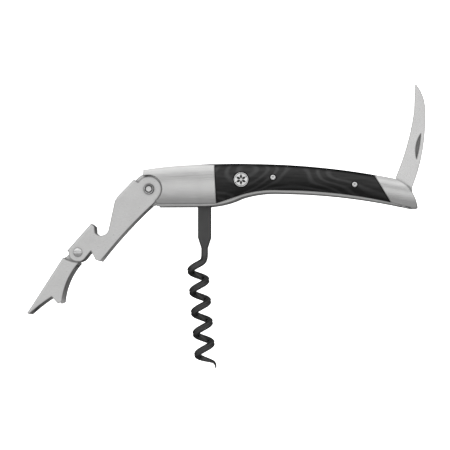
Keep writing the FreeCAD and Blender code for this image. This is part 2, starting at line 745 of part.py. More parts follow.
def make_blade():
    """Foil blade: hollow cutting edge, bowed spine, nail nick on the near face."""
    body = new_body("blade")
    side = new_sketch(body, "blade_side")
    tang = 3.3
    outline(side, on_circle(BLADE_PIVOT, tang, 195.0),
            ("line", (86.0, 9.1)),
            ("arc", (91.25, 24.1), (94.2, 38.5)),
            ("line", (94.75, 50.3)),
            ("line", (95.2, 50.5)),
            ("arc", (98.0, 45.7), (99.15, 37.5)),
            ("arc", (98.25, 22.6), (93.3, 4.5)),
            ("line", on_circle(BLADE_PIVOT, tang, 20.0)),
            ("arc", on_circle(BLADE_PIVOT, tang, 285.0), on_circle(BLADE_PIVOT, tang, 195.0)))
    pad(body, side, "Dimensions.blade_thick", both_sides=True)
    hole = new_sketch(body, "blade_hole")
    circle(hole, BLADE_AXIS, "Dimensions.blade_pin_radius + Dimensions.running")
    pocket(body, hole)
    nick = new_sketch(body, "nail_nick", offset="Dimensions.blade_thick / 2")
    outline(nick, (97.3, 28.6),
            ("arc", (94.95, 22.8), (95.3, 16.9)),
            ("arc", (96.6, 22.6), (97.3, 28.6)))
    pocket(body, nick, "1.0")


def write_pieces():
    """Refuse to write anything unless every object is sound."""
    doc.recompute()
    for item in doc.Objects:
        if "Invalid" in item.State or "Error" in item.State:
            raise ValueError(f"{item.Name} failed: {item.State}")
    os.makedirs("parts", exist_ok=True)
    for piece in PIECES:
        shape = piece.Shape
        if shape.isNull() or not shape.isValid() or not shape.Solids:
            raise ValueError(f"{piece.Label} has no valid solid")
        shape.exportStep(f"parts/{piece.Label}.step")


make_liners()
make_front_bolsters()
make_scales()
make_tail_bolsters()
make_head_block()
make_back_spacer()
make_worm_spring()
make_fittings()
make_lever()
make_foot()
make_worm()
make_blade()
write_pieces()
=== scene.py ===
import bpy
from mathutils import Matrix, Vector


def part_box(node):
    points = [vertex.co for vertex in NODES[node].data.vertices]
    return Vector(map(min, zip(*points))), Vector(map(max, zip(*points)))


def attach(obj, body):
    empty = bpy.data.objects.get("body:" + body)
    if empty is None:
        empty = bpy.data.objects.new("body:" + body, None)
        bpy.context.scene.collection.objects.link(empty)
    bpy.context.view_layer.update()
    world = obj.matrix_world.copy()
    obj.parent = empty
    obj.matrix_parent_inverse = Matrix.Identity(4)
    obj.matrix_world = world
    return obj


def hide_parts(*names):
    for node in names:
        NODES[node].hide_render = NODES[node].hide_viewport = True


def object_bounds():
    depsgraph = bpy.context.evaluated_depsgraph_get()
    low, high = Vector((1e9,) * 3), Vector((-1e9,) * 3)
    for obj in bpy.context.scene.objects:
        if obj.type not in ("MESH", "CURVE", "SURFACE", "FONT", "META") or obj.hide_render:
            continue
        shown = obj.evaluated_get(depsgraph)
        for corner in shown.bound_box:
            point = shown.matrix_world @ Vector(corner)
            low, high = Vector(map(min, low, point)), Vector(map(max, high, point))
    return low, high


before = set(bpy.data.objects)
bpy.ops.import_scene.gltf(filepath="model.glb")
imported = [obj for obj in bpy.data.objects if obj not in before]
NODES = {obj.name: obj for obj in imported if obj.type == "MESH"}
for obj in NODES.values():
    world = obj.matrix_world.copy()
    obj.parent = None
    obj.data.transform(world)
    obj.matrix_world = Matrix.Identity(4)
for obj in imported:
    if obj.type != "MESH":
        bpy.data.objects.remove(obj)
cad_box = [[float(value) for value in corner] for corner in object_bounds()]

import math

import bmesh
import bpy
from mathutils import Vector

MM = 0.001
SIDES = {"left": -1, "right": 1}

# Distances of the flat outer faces from the tool's middle plane, y = 0.
CHEEK_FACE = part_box("right_front_bolster")[1][1]
LINER_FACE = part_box("right_liner")[1][1]
BLADE_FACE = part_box("blade")[1][1]


def middle_of(node):
    """Centre of a CAD node."""
    low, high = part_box(node)
    return (Vector(low) + Vector(high)) / 2


def half_width(node):
    """Half the length of a CAD node along x, which is the radius of a round one."""
    low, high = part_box(node)
    return (high[0] - low[0]) / 2


# ---------------------------------------------------------------- materials

class Material:
    """A node tree under construction, with short calls for the nodes used here."""

    def __init__(self, name):
        self.material = bpy.data.materials.new(name)
        self.material.use_nodes = True
        self.tree = self.material.node_tree
        self.surface = self.tree.nodes["Principled BSDF"]
        self.place = self.tree.nodes.new("ShaderNodeTexCoord").outputs["Object"]

    def node(self, kind, **settings):
        made = self.tree.nodes.new(kind)
        for key, value in settings.items():
            setattr(made, key, value)
        return made

    def join(self, source, target):
        """Wire an output to an input, or set the input from a plain value."""
        if isinstance(source, (int, float, tuple)):
            target.default_value = source
        else:
            self.tree.links.new(source, target)

    def stretched(self, scale):
        """The object's own coordinates, scaled apart along each axis."""
        mapping = self.node("ShaderNodeMapping")
        self.join(self.place, mapping.inputs["Vector"])
        mapping.inputs["Scale"].default_value = scale
        return mapping.outputs["Vector"]

    def noise(self, scale, detail=3.0, roughness=0.5, vector=None, distortion=0.0):
        made = self.node("ShaderNodeTexNoise")
        self.join(vector if vector is not None else self.place, made.inputs["Vector"])
        made.inputs["Scale"].default_value = scale
        made.inputs["Detail"].default_value = detail
        made.inputs["Roughness"].default_value = roughness
        made.inputs["Distortion"].default_value = distortion
        return made.outputs["Fac"]

    def math(self, operation, first, second=0.0):
        made = self.node("ShaderNodeMath", operation=operation)
        self.join(first, made.inputs[0])
        self.join(second, made.inputs[1])
        return made.outputs[0]

    def product(self, *factors):
        result = factors[0]
        for factor in factors[1:]:
            result = self.math("MULTIPLY", result, factor)
        return result

    def blend(self, factor, first, second):
        made = self.node("ShaderNodeMix", data_type="RGBA")
        self.join(factor, made.inputs["Factor"])
        self.join(first, made.inputs["A"])
        self.join(second, made.inputs["B"])
        return made.outputs["Result"]

    def between(self, source, low, high, to_low, to_high):
        """Carry the range low to high over to the range to_low to to_high, clamped."""
        made = self.node("ShaderNodeMapRange")
        for value, target in zip((source, low, high, to_low, to_high), made.inputs):
            self.join(value, target)
        return made.outputs["Result"]

    def bump(self, height, depth):
        made = self.node("ShaderNodeBump")
        made.inputs["Strength"].default_value = 1.0
        made.inputs["Distance"].default_value = depth
        self.join(height, made.inputs["Height"])
        self.join(made.outputs["Normal"], self.surface.inputs["Normal"])

    def axis(self, source, name):
        made = self.node("ShaderNodeSeparateXYZ")
        self.join(source, made.inputs[0])
        return made.outputs[name]

    def facing(self, name):
        """One component of the surface's normal."""
        geometry = self.node("ShaderNodeNewGeometry")
        return self.axis(geometry.outputs["Normal"], name)

    def even(self, level):
        """A neutral colour from one number."""
        made = self.node("ShaderNodeCombineColor")
        for channel in ("Red", "Green", "Blue"):
            self.join(level, made.inputs[channel])
        return made.outputs[0]

    def edge_shade(self, begin, end, dark):
        """Painted shade: 1 where the surface faces the eye, falling to dark where it turns away.
        """
        weight = self.node("ShaderNodeLayerWeight")
        weight.inputs["Blend"].default_value = 0.5
        return self.between(weight.outputs["Facing"], begin, end, 1.0, dark)

    def open_sky(self, reach, dark):
        """Painted shade: 1 on open faces, falling to dark in seams and corners within reach."""
        made = self.node("ShaderNodeAmbientOcclusion", samples=8)
        made.inputs["Distance"].default_value = reach
        return self.between(made.outputs["AO"], 0.45, 0.95, dark, 1.0)

    def off_edge(self, reach, dark):
        """Painted shade: 1 on broad faces, falling to dark within reach of an outer edge."""
        made = self.node("ShaderNodeAmbientOcclusion", samples=8, inside=True)
        made.inputs["Distance"].default_value = reach
        return self.between(made.outputs["AO"], 0.55, 0.97, dark, 1.0)

    def beyond(self, centre, inner, outer):
        """0 within a cylinder along Y about centre, rising to 1 at the outer radius."""
        gaps = [self.math("SUBTRACT", self.axis(self.place, name), value)
                for name, value in (("X", centre[0]), ("Z", centre[2]))]
        square = self.math("ADD", *(self.math("MULTIPLY", gap, gap) for gap in gaps))
        return self.between(self.math("SQRT", square), inner, outer, 0.0, 1.0)

    def set(self, **values):
        """Join each value to the surface input of that name and hand the material back."""
        for key, value in values.items():
            self.join(value, self.surface.inputs[key.replace("_", " ")])
        return self.material


def grey(value):
    return (value, value, value, 1.0)


HAIRLINE = 0.003 * MM     # depth of the finest surface marks


def brushed_steel(name, tone, roughness, stroke=(120, 900, 5200), turned=0.3, face=None):
    """Satin steel: fine strokes, a slow mottle, and painted shade in seams, near outer edges and
    on grazing sides.

    stroke says how often the strokes repeat per metre along x, y and z. Sides turned from the
    eye keep the share of the tone called turned, as painted shade. Where face is given, the
    distance of a flat from y = 0, what lies below that flat gets painted shade.
    """
    mottle, cloud_mottle = 0.035, 0.021
    seam_reach, seam_shade = 1.4 * MM, 0.4
    edge_reach, rim_shade = 0.5 * MM, 0.5
    m = Material(name)
    strokes = m.noise(1.0, 4.0, 0.62, m.stretched(stroke))
    cloud = m.noise(140.0, 3.0, 0.5)
    shade = m.math("ADD", m.between(strokes, 0.3, 0.7, -mottle, mottle),
                   m.between(cloud, 0.3, 0.7, -cloud_mottle, cloud_mottle))
    # Painted shade: darker on sides turned from the eye, in seams and near outer edges.
    lit = m.product(m.math("ADD", shade, tone), m.edge_shade(0.16, 0.55, turned),
                    m.open_sky(seam_reach, seam_shade), m.off_edge(edge_reach, rim_shade))
    # Painted shade in recesses below the flat, such as the blade's nail nick.
    if face:
        sunk = m.math("SUBTRACT", face, m.math("ABSOLUTE", m.axis(m.place, "Y")))
        lit = m.product(lit, m.between(sunk, 0.1 * MM, 0.22 * MM, 1.0, 0.3))
    warm = m.node("ShaderNodeCombineColor")
    for channel, tint in (("Red", 1.0), ("Green", 0.998), ("Blue", 0.992)):
        m.join(m.product(lit, tint), warm.inputs[channel])
    m.bump(strokes, HAIRLINE)
    return m.set(Base_Color=warm.outputs[0], Metallic=1.0, Specular_Tint=grey(0.4),
                 Roughness=m.between(strokes, 0.2, 0.8, roughness - 0.05, roughness + 0.07))


def polished_steel(name):
    """Bright rivet steel with a faint cloud, with painted shade in its grooves and on sides
    turned from the eye.
    """
    groove_reach, groove_shade = 0.7 * MM, 0.2
    m = Material(name)
    cloud = m.noise(900.0, 2.0)
    m.bump(cloud, HAIRLINE)
    # Painted shade: darker on grazing sides and in grooves.
    lit = m.product(m.between(cloud, 0.3, 0.7, 0.64, 0.72),
                    m.product(m.edge_shade(0.2, 0.7, 0.3), m.open_sky(groove_reach, groove_shade)))
    return m.set(Base_Color=m.even(lit), Metallic=1.0,
                 Roughness=m.between(cloud, 0.3, 0.7, 0.16, 0.24))


def engraved_steel(name):
    """Polished disc, darkened by the depth marked on the mesh: the engraved lines come out dark,
    and the eased rim gets painted shade.
    """
    m = Material(name)
    cloud = m.noise(900.0, 2.0)
    marked = m.node("ShaderNodeAttribute", attribute_name="engraved").outputs["Fac"]
    # Darker with depth: dark engraved lines, and painted shade on the eased rim.
    depth_dark = m.between(marked, 0.2, 0.7, 1.0, 0.07)
    m.bump(cloud, HAIRLINE)
    return m.set(Base_Color=m.even(m.product(m.between(cloud, 0.3, 0.7, 0.84, 0.94), depth_dark)),
                 Metallic=1.0, Roughness=0.24)


def dark_laminate(name, fittings):
    """Pressed cloth laminate: contour lines where layers surface; painted shade on grazing sides,
    on faces turned up or down, in seams, near outer edges and as a dark ring round each fitting.
    """
    layers_through, layers_wavy = 6200.0, 130.0
    seam_reach, edge_reach = 0.9 * MM, 0.5 * MM
    gap_shade_begin, gap_shade_end = 0.1 * MM, 0.55 * MM
    m = Material(name)
    wave = m.noise(26.0, 1.5, 0.4, m.stretched((0.5, 1.0, 1.0)), 0.6)
    depth = m.math("ABSOLUTE", m.axis(m.place, "Y"))
    contour = m.math("SINE", m.math("ADD", m.product(depth, layers_through),
                                    m.product(wave, layers_wavy)))
    thread = m.noise(2600.0, 2.0, 0.6)
    fibre = m.noise(1.0, 3.0, 0.6, m.stretched((90, 2600, 700)))
    line = m.product(m.between(contour, -0.2, 1.0, 0.0, 1.0),
                     m.between(thread, 0.25, 0.75, 0.5, 1.0))
    body = m.blend(m.between(fibre, 0.35, 0.65, 0.0, 1.0), grey(0.006), grey(0.018))
    layered = m.blend(m.product(line, 0.75), body, (0.055, 0.055, 0.056, 1))
    # Painted shade: darker on sides turned from the eye, on faces turned up and down, in seams
    # and near outer edges; the specular dims with it.
    light = m.product(m.edge_shade(0.3, 0.75, 0.1),
                      m.between(m.facing("Z"), 0.2, 0.42, 1.0, 0.1),
                      m.between(m.facing("Z"), -0.14, 0.1, 0.35, 1.0),
                      m.open_sky(seam_reach, 0.2), m.off_edge(edge_reach, 0.05))
    # Painted shade in the gap round each fitting.
    for centre, radius in fittings:
        light = m.product(light, m.beyond(centre, radius + gap_shade_begin, radius + gap_shade_end))
    m.bump(m.math("ADD", m.product(line, 0.6), thread), 0.008 * MM)
    return m.set(Base_Color=m.blend(light, grey(0.001), layered),
                 Roughness=m.between(thread, 0.3, 0.7, 0.38, 0.52),
                 Specular_IOR_Level=m.product(light, 0.42))


def coated_black(name):
    """Baked low-friction coating: dark, fine orange peel, a little satin, with painted shade on
    sides turned from the eye, in seams and near outer edges.
    """
    m = Material(name)
    peel = m.noise(2400.0, 3.0, 0.6)
    cloud = m.noise(260.0, 2.0)
    # Painted shade: darker on grazing sides, in seams and near outer edges; the specular dims
    # with it.
    light = m.product(m.edge_shade(0.12, 0.55, 0.06), m.open_sky(1.2 * MM, 0.1),
                      m.off_edge(0.6 * MM, 0.0))
    m.bump(peel, 0.01 * MM)
    coat = m.blend(cloud, grey(0.02), grey(0.034))
    return m.set(Base_Color=m.blend(light, grey(0.002), coat),
                 Roughness=m.between(peel, 0.3, 0.7, 0.3, 0.42),
                 Specular_IOR_Level=m.product(light, 0.6))


def ground_steel(name):
    """Dull ground steel for pins and the spring."""
    m = Material(name)
    lines = m.noise(1.0, 3.0, 0.6, m.stretched((4200, 900, 200)))
    m.bump(lines, 0.004 * MM)
    return m.set(Base_Color=m.blend(lines, grey(0.34), grey(0.46)), Metallic=1.0,
                 Roughness=m.between(lines, 0.3, 0.7, 0.28, 0.4))


def bronze(name):
    """Plain bearing bronze for washers."""
    m = Material(name)
    cloud = m.noise(700.0, 3.0)
    m.bump(cloud, 0.004 * MM)
    return m.set(Base_Color=m.blend(cloud, (0.42, 0.24, 0.1, 1), (0.6, 0.38, 0.17, 1)),
                 Metallic=1.0, Roughness=0.36)


def pale_stage(name):
    """White paper sweep that glows a little, so it stays white behind the tool."""
    m = Material(name)
    cloud = m.noise(3.0, 2.0)
    white = m.blend(cloud, grey(0.90), grey(0.93))
    m.join(white, m.surface.inputs["Emission Color"])
    return m.set(Base_Color=white, Roughness=0.9, Specular_IOR_Level=0.1,
                 Emission_Strength=0.85)


def fittings_of(side):
    """Place and radius of each round fitting in one scale."""
    names = [f"{side}_rosette", f"{side}_front_scale_pin", f"{side}_rear_scale_pin"]
    return [(middle_of(name), half_width(name)) for name in names]


# turned is the share of tone kept as painted shade on sides turned from the eye.
SATIN = brushed_steel("satin_steel", 0.65, 0.22, turned=0.6)
LINER_SATIN = brushed_steel("liner_satin_steel", 0.56, 0.34, turned=0.8)
LEVER_SATIN = brushed_steel("lever_satin_steel", 0.69, 0.30, stroke=(900, 900, 2400))
BLADE_SATIN = brushed_steel("blade_satin_steel", 0.77, 0.27, stroke=(5200, 900, 160),
                            face=BLADE_FACE)
POLISHED = polished_steel("polished_rivet_steel")
ROSETTE = engraved_steel("engraved_rosette_steel")
LAMINATE = dark_laminate("dark_cloth_laminate", fittings_of("left"))
COATED = coated_black("black_worm_coating")
SPRING = ground_steel("ground_spring_steel")
WASHER = bronze("plain_bronze")
STAGE = pale_stage("pale_stage")


# ---------------------------------------------------------------- mesh helpers

def place_mesh(mesh, material):
    """Put a mesh in the scene as a smooth piece of the same name."""
    mesh.materials.append(material)
    for face in mesh.polygons:
        face.use_smooth = True
    piece = bpy.data.objects.new(mesh.name, mesh)
    bpy.context.scene.collection.objects.link(piece)
    return piece


def new_piece(name, vertices, faces, material):
    """A piece from points and faces, with its normals turned outwards."""
    mesh = bpy.data.meshes.new(name)
    mesh.from_pydata([tuple(vertex) for vertex in vertices], [], faces)
    mesh.validate()
    turned_out = bmesh.new()
    turned_out.from_mesh(mesh)
    bmesh.ops.recalc_face_normals(turned_out, faces=turned_out.faces)
    turned_out.to_mesh(mesh)
    turned_out.free()
    return place_mesh(mesh, material)


def stand_for(piece, body, node):
    """Let a piece ride a body in place of one CAD node."""
    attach(piece, body)
    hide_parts(node)


FLAT_WITHIN = math.radians(0.4)
CORNER = math.radians(28)


def soften(node, material, width):
    """Give a CAD node clean flats, small rounded edges and its material."""
    obj = NODES[node]
    obj.data.materials.clear()
    obj.data.materials.append(material)
    flats = obj.modifiers.new("flats", "DECIMATE")
    flats.decimate_type = "DISSOLVE"
    flats.angle_limit = FLAT_WITHIN
    rounding = obj.modifiers.new("rounding", "BEVEL")
    rounding.width = width
    rounding.segments = 3
    rounding.limit_method = "ANGLE"
    rounding.angle_limit = CORNER
    rounding.use_clamp_overlap = True
    rounding.harden_normals = True
    for face in obj.data.polygons:
        face.use_smooth = True


# ---------------------------------------------------------------- stage, light and camera

def make_stage():
    """A seamless sweep: floor below the tool, a quarter round, then a wall behind it."""
    floor = cad_box[0][2] - 22 * MM
    front, back, rise, radius, half = -1.6, 1.5, 1.6, 0.5, 2.2
    profile = [(front, floor)]
    steps = 24
    for i in range(steps + 1):
        turn = math.pi / 2 * i / steps
        profile.append((back - radius + radius * math.sin(turn),
                        floor + radius - radius * math.cos(turn)))
    profile.append((back, floor + rise))
    vertices = [(side * half, y, z) for y, z in profile for side in (-1, 1)]
    faces = [(2 * i, 2 * i + 1, 2 * i + 3, 2 * i + 2) for i in range(len(profile) - 1)]
    sweep = new_piece("pale_sweep", vertices, faces, STAGE)
    sweep.visible_glossy = False


# Brightness of the studio by height, from 0 straight down through 0.5 level to 1 straight up.
# The dim band just above level draws the soft dark stripe along crowned steel.
SKY = ((0.0, 0.42), (0.345, 0.40), (0.43, 0.50), (0.48, 0.80), (0.52, 1.02), (0.55, 1.1),
       (0.57, 0.4), (0.605, 0.4), (0.64, 1.05), (0.69, 1.13), (0.84, 0.82), (1.0, 0.85))


def make_world():
    """White to the eye; to the tool a soft studio, brighter above and dimmer below."""
    world = bpy.data.worlds.new("studio")
    bpy.context.scene.world = world
    world.use_nodes = True
    tree = world.node_tree
    background = tree.nodes["Background"]
    place = tree.nodes.new("ShaderNodeTexCoord")
    split = tree.nodes.new("ShaderNodeSeparateXYZ")
    height = tree.nodes.new("ShaderNodeMapRange")
    height.inputs["From Min"].default_value = -1.0
    ramp = tree.nodes.new("ShaderNodeValToRGB")
    stops = ramp.color_ramp.elements
    while len(stops) < len(SKY):
        stops.new(0.5)
    for stop, (position, value) in zip(stops, SKY):
        stop.position = position
        stop.color = grey(value)
    path = tree.nodes.new("ShaderNodeLightPath")
    pick = tree.nodes.new("ShaderNodeMix")
    pick.data_type = "RGBA"
    pick.inputs["B"].default_value = grey(1.0)
    background.inputs["Strength"].default_value = 1.0
    tree.links.new(place.outputs["Generated"], split.inputs[0])
    tree.links.new(split.outputs["Z"], height.inputs["Value"])
    tree.links.new(height.outputs["Result"], ramp.inputs["Fac"])
    tree.links.new(path.outputs["Is Camera Ray"], pick.inputs["Factor"])
    tree.links.new(ramp.outputs["Color"], pick.inputs["A"])
    tree.links.new(pick.outputs["Result"], background.inputs["Color"])


def add_area(name, place):
    """A soft rectangular light aimed at the tool."""
    aim = Vector((0.01, 0.0, -0.01))
    light = bpy.data.lights.new(name, "AREA")
    light.shape = "RECTANGLE"
    light.size, light.size_y = 0.7, 0.5
    light.energy = 0.35
    obj = bpy.data.objects.new(name, light)
    obj.location = place
    obj.rotation_euler = (aim - Vector(place)).to_track_quat("-Z", "Y").to_euler()
    bpy.context.scene.collection.objects.link(obj)


def make_lights():
    add_area("key", (-0.35, -0.7, 0.75))
    add_area("far_key", (0.35, 0.7, 0.75))


def make_camera():
    """Long lens nearly level with the tool, a little to its right and a little below."""
    azimuth, elevation = math.radians(5.0), math.radians(-2.5)
    distance, field, sensor = 1.2, 0.2025, 36.0
    middle = Vector((0.0092, 0.0, -0.01215))
    back = Vector((math.sin(azimuth) * math.cos(elevation),
                   -math.cos(azimuth) * math.cos(elevation), math.sin(elevation)))
    camera = bpy.data.cameras.new("camera")
    camera.sensor_width = sensor
    camera.lens = sensor * distance / field
    camera.clip_start, camera.clip_end = 0.05, 20.0
    obj = bpy.data.objects.new("camera", camera)
    obj.location = middle + back * distance
    obj.rotation_euler = (-back).to_track_quat("-Z", "Y").to_euler()
    bpy.context.scene.collection.objects.link(obj)
    bpy.context.scene.camera = obj
    bpy.context.scene.view_settings.view_transform = "Standard"


# ---------------------------------------------------------------- cheeks

CHEEKS = ("front_bolster", "scale", "tail_bolster")
STATION = 2.0 * MM        # step between the stations where the outline is measured
CROWN = 1.0 * MM          # how far the outer face falls from its middle to its edges
PILLOW, ROLL = 0.62, 0.38  # shares of that fall: over the whole height, and close to the edge
CREASE = math.radians(32)


class HandleOutline:
    """Middle height and half height of the handle's side outline along its length."""

    def __init__(self):
        edges = []
        for cheek in CHEEKS:
            mesh = NODES[f"left_{cheek}"].data
            points = [vertex.co for vertex in mesh.vertices]
            edges += [(points[a], points[b]) for a, b in (edge.vertices for edge in mesh.edges)]
        self.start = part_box("left_front_bolster")[0][0] + 4 * STATION
        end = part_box("left_scale")[1][0] - STATION
        self.spans = []
        for i in range(int((end - self.start) / STATION) + 1):
            x = self.start + i * STATION
            cuts = [a.z + (b.z - a.z) * (x - a.x) / (b.x - a.x) for a, b in edges
                    if (a.x - x) * (b.x - x) < 0]
            self.spans.append(((max(cuts) + min(cuts)) / 2, (max(cuts) - min(cuts)) / 2))

    def at(self, x):
        """Middle and half height at x; past either end the middle runs on straight."""
        place = (x - self.start) / STATION
        index = min(max(int(place), 0), len(self.spans) - 2)
        (first_mid, first_half), (next_mid, next_half) = self.spans[index:index + 2]
        share = min(max(place - index, 0.0), 1.0)
        return (first_mid + (next_mid - first_mid) * (place - index),
                first_half + (next_half - first_half) * share)


OUTLINE = HandleOutline()


def crowned(x, z):
    """Distance from y = 0 of the cheeks' pillowed outside, rolled over towards its edges."""
    middle, half = OUTLINE.at(x)
    rise = min(abs(z - middle) / half, 1.15)
    return CHEEK_FACE - CROWN * (PILLOW * rise ** 2 + ROLL * rise ** 8)


def crown_cheek(node, side, material):
    """A cheek cut into a fine grid, with its outer face brought to the crown."""
    weld, cut_snap, step_along, step_up = 0.001 * MM, 0.002 * MM, 1.5 * MM, 0.6 * MM
    outer_half = LINER_FACE + 0.6 * MM
    grid = bmesh.new()
    grid.from_mesh(NODES[node].data)
    bmesh.ops.remove_doubles(grid, verts=grid.verts, dist=weld)
    bmesh.ops.dissolve_limit(grid, angle_limit=FLAT_WITHIN, verts=grid.verts, edges=grid.edges)
    low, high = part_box(node)
    for axis, step in ((0, step_along), (2, step_up)):
        direction = Vector([float(i == axis) for i in range(3)])
        for i in range(1, int((high[axis] - low[axis]) / step) + 1):
            everything = grid.verts[:] + grid.edges[:] + grid.faces[:]
            bmesh.ops.bisect_plane(grid, geom=everything, dist=cut_snap, plane_no=direction,
                                   plane_co=direction * (low[axis] + i * step))
    for vertex in grid.verts:
        if side * vertex.co.y > outer_half:
            vertex.co.y = side * crowned(vertex.co.x, vertex.co.z)
    mesh = bpy.data.meshes.new(f"crowned_{node}")
    grid.to_mesh(mesh)
    grid.free()
    piece = place_mesh(mesh, material)
    mesh.set_sharp_from_angle(angle=CREASE)
    stand_for(piece, "handle", node)


# ---------------------------------------------------------------- turned and inlaid fittings

ENGRAVING = 0.16 * MM
RIVET_CREASE = math.radians(40)

# Rivet heads from the centre outwards, in shares of the head's radius and height.
EYELET = ((0.0, 0.86), (0.5, 0.82), (0.56, 0.6), (0.6, 0.3), (0.67, 0.3), (0.72, 0.7),
          (0.78, 0.96), (0.86, 1.0), (0.94, 0.8), (1.0, 0.4))
DOME = tuple((math.sin(math.pi / 2 * i / 9), 0.2 + 0.8 * math.cos(math.pi / 2 * i / 9))
             for i in range(10))


def fan(first, second):
    """Faces between two rings of vertex numbers, either of which may be a single point."""
    count = max(len(first), len(second))
    faces = []
    for i in range(count):
        j = (i + 1) % count
        if len(first) == 1:
            faces.append((first[0], second[i], second[j]))
        elif len(second) == 1:
            faces.append((first[i], second[0], first[j]))
        else:
            faces.append((first[i], second[i], second[j], first[j]))
    return faces


def skin(rings):
    """Faces over a row of rings of vertex numbers."""
    return [face for pair in zip(rings, rings[1:]) for face in fan(*pair)]


def rings_around(centre, radii, height, segments):
    """Rings of points about an axis along Y, with y from height(number, x, z, radius, angle)."""
    vertices, rings = [], []
    for number, radius in enumerate(radii):
        count = segments if radius > 0 else 1
        rings.append(range(len(vertices), len(vertices) + count))
        for i in range(count):
            angle = 2 * math.pi * i / segments
            x, z = centre.x + radius * math.cos(angle), centre.z + radius * math.sin(angle)
            vertices.append((x, height(number, x, z, radius, angle), z))
    return vertices, skin(rings)


def pivot_rivet(node, body, shaft, head_height, head):
    """A rivet with the same head on both sides and a shaft between them."""
    radius = half_width(node)
    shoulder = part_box(node)[1][1] - head_height
    half = [(share * radius, shoulder + rise * head_height) for share, rise in head]
    half += [(radius, shoulder), (shaft, shoulder)]
    profile = [(r, -y) for r, y in half] + [(r, y) for r, y in reversed(half)]
    vertices, faces = rings_around(middle_of(node), [r for r, _ in profile],
                                   lambda number, *_: profile[number][1], 72)
    piece = new_piece(f"turned_{node}", vertices, faces, POLISHED)
    piece.data.set_sharp_from_angle(angle=RIVET_CREASE)
    stand_for(piece, body, node)


def inlay(node, side, material, shares, segments, relief):
    """A plug let into a scale, ground to its crown; relief(share of radius, angle) lowers it.

    The last ring, at the full radius, is the plug's foot on the liner.
    """
    centre, radius = middle_of(node), half_width(node)
    radii = [share * radius for share in shares] + [radius]

    def height(number, x, z, ring, angle):
        if number == len(shares):
            return side * LINER_FACE
        return side * (crowned(x, z) - relief(ring / radius, angle))

    vertices, faces = rings_around(centre, radii, height, segments)
    piece = new_piece(f"ground_{node}", vertices, faces, material)
    stand_for(piece, "handle", node)
    return piece


def mark_engraving(piece):
    """Note on each point how deep it is engraved; the plug's foot, far below, isn't."""
    layer = piece.data.attributes.new("engraved", "FLOAT", "POINT")
    for vertex, mark in zip(piece.data.vertices, layer.data):
        sunk = crowned(vertex.co.x, vertex.co.z) - abs(vertex.co.y)
        mark.value = min(sunk / ENGRAVING, 1.0) if sunk < 2 * ENGRAVING else 0.0


def petals(share, angle):
    """Six pointed petals and a rim line, engraved; the outer edge is eased."""
    eased_edge, rim_inner, rim_outer = 0.96, 0.83, 0.89
    petal_start, petal_length, petal_width, centre_size = 0.08, 0.66, 0.155, 0.3
    if share > eased_edge:
        return 0.08 * MM
    if rim_inner < share < rim_outer:
        return ENGRAVING
    off_middle = abs((angle / (2 * math.pi / 6)) % 1.0 - 0.5)
    along = min(max((share - petal_start) / petal_length, 0.0), 1.0)
    inside = off_middle * max(share, centre_size) < petal_width * math.sin(math.pi * along)
    return ENGRAVING if inside else 0.0


def centre_dot(share, angle):
    """A small dimple in the middle of a pin, and an eased outer edge."""
    if share < 0.2:
        return 0.12 * MM
    return 0.07 * MM if share > 0.93 else 0.0


def make_fittings():
    pivot_rivet("lever_pin", "lever_rivet", 1.6 * MM, 0.85 * MM, EYELET)
    pivot_rivet("foot_pin", "lever", 1.3 * MM, 0.8 * MM, DOME)
    disc_shares = [i / 40 for i in range(40)] + [0.995]
    pin_shares = (0.0, 0.12, 0.18, 0.22, 0.6, 0.9, 0.95, 0.99)
    for name, side in SIDES.items():
        mark_engraving(inlay(f"{name}_rosette", side, ROSETTE, disc_shares, 120, petals))
        for place in ("front", "rear"):
            inlay(f"{name}_{place}_scale_pin", side, POLISHED, pin_shares, 48, centre_dot)


# ---------------------------------------------------------------- worm

WIRE = 1.55 * MM              # radius of the wire
COIL = 3.4 * MM               # radius of the wire's centre line
PITCH = 9.45 * MM
TURNS = 5.0
COIL_START = 27.6 * MM        # depth below the worm's pin
COIL_TILT = math.radians(4.8)
LEAD_IN = 0.14                # turns taken up by the bend from the neck

POINT_TURNS = 0.55            # turns over which the wire thins
POINT_RADIUS = 0.3 * MM
HOOK_TURNS = 0.12             # turns over which the point hooks down
HOOK_DROP = 1.7 * MM
HOOK_INWARDS = 0.3 * MM
POINT_LENGTH = 0.25 * MM

GROOVE_DEPTH = 0.26           # share of the wire's radius
GROOVE_WIDTH = 0.26           # radians around the wire
GROOVE_RISE = 0.5             # turns until the groove is full
GROOVE_FADE = 0.4             # turns over which it ends
GROOVE_END = 0.35             # turns before the point

TANG = 3.3 * MM
TANG_LEVELS = (86, 72, 58, 42, 25)
SHANK_HALF = 3.0 * MM
SHANK_THICK = 1.6 * MM
SHANK_END = -17.8 * MM
SHANK_LEVELS = (0.1, 0.4, 0.7, 0.96, 1.0)
NECK = -22.5 * MM
NECK_END = -23.4 * MM
SQUARE, ROUND = 8.0, 2.0      # exponents of the section's rounded corners
RING = 56                     # points around the worm

SIDEWAYS = Vector((math.cos(COIL_TILT), 0, math.sin(COIL_TILT)))
DOWNWARDS = Vector((math.sin(COIL_TILT), 0, -math.cos(COIL_TILT)))


def radial(turns):
    """Direction from the coil's axis to its wire."""
    angle = 2 * math.pi * turns
    return SIDEWAYS * math.cos(angle) - Vector((0, math.sin(angle), 0))


def wire_radius(turns):
    share = max(turns - (TURNS - POINT_TURNS), 0.0) / POINT_TURNS
    return WIRE + (POINT_RADIUS - WIRE) * share ** 1.6


def coil_centre(turns):
    """Centre of the wire; its outside keeps one radius, and its point hooks down."""
    hook = max(turns - (TURNS - HOOK_TURNS), 0.0) / HOOK_TURNS
    reach = COIL + WIRE - wire_radius(turns) - HOOK_INWARDS * hook ** 2
    top = Vector((0, 0, -COIL_START)) - SIDEWAYS * COIL
    return top + radial(turns) * reach + DOWNWARDS * (PITCH * turns + HOOK_DROP * hook ** 1.6)


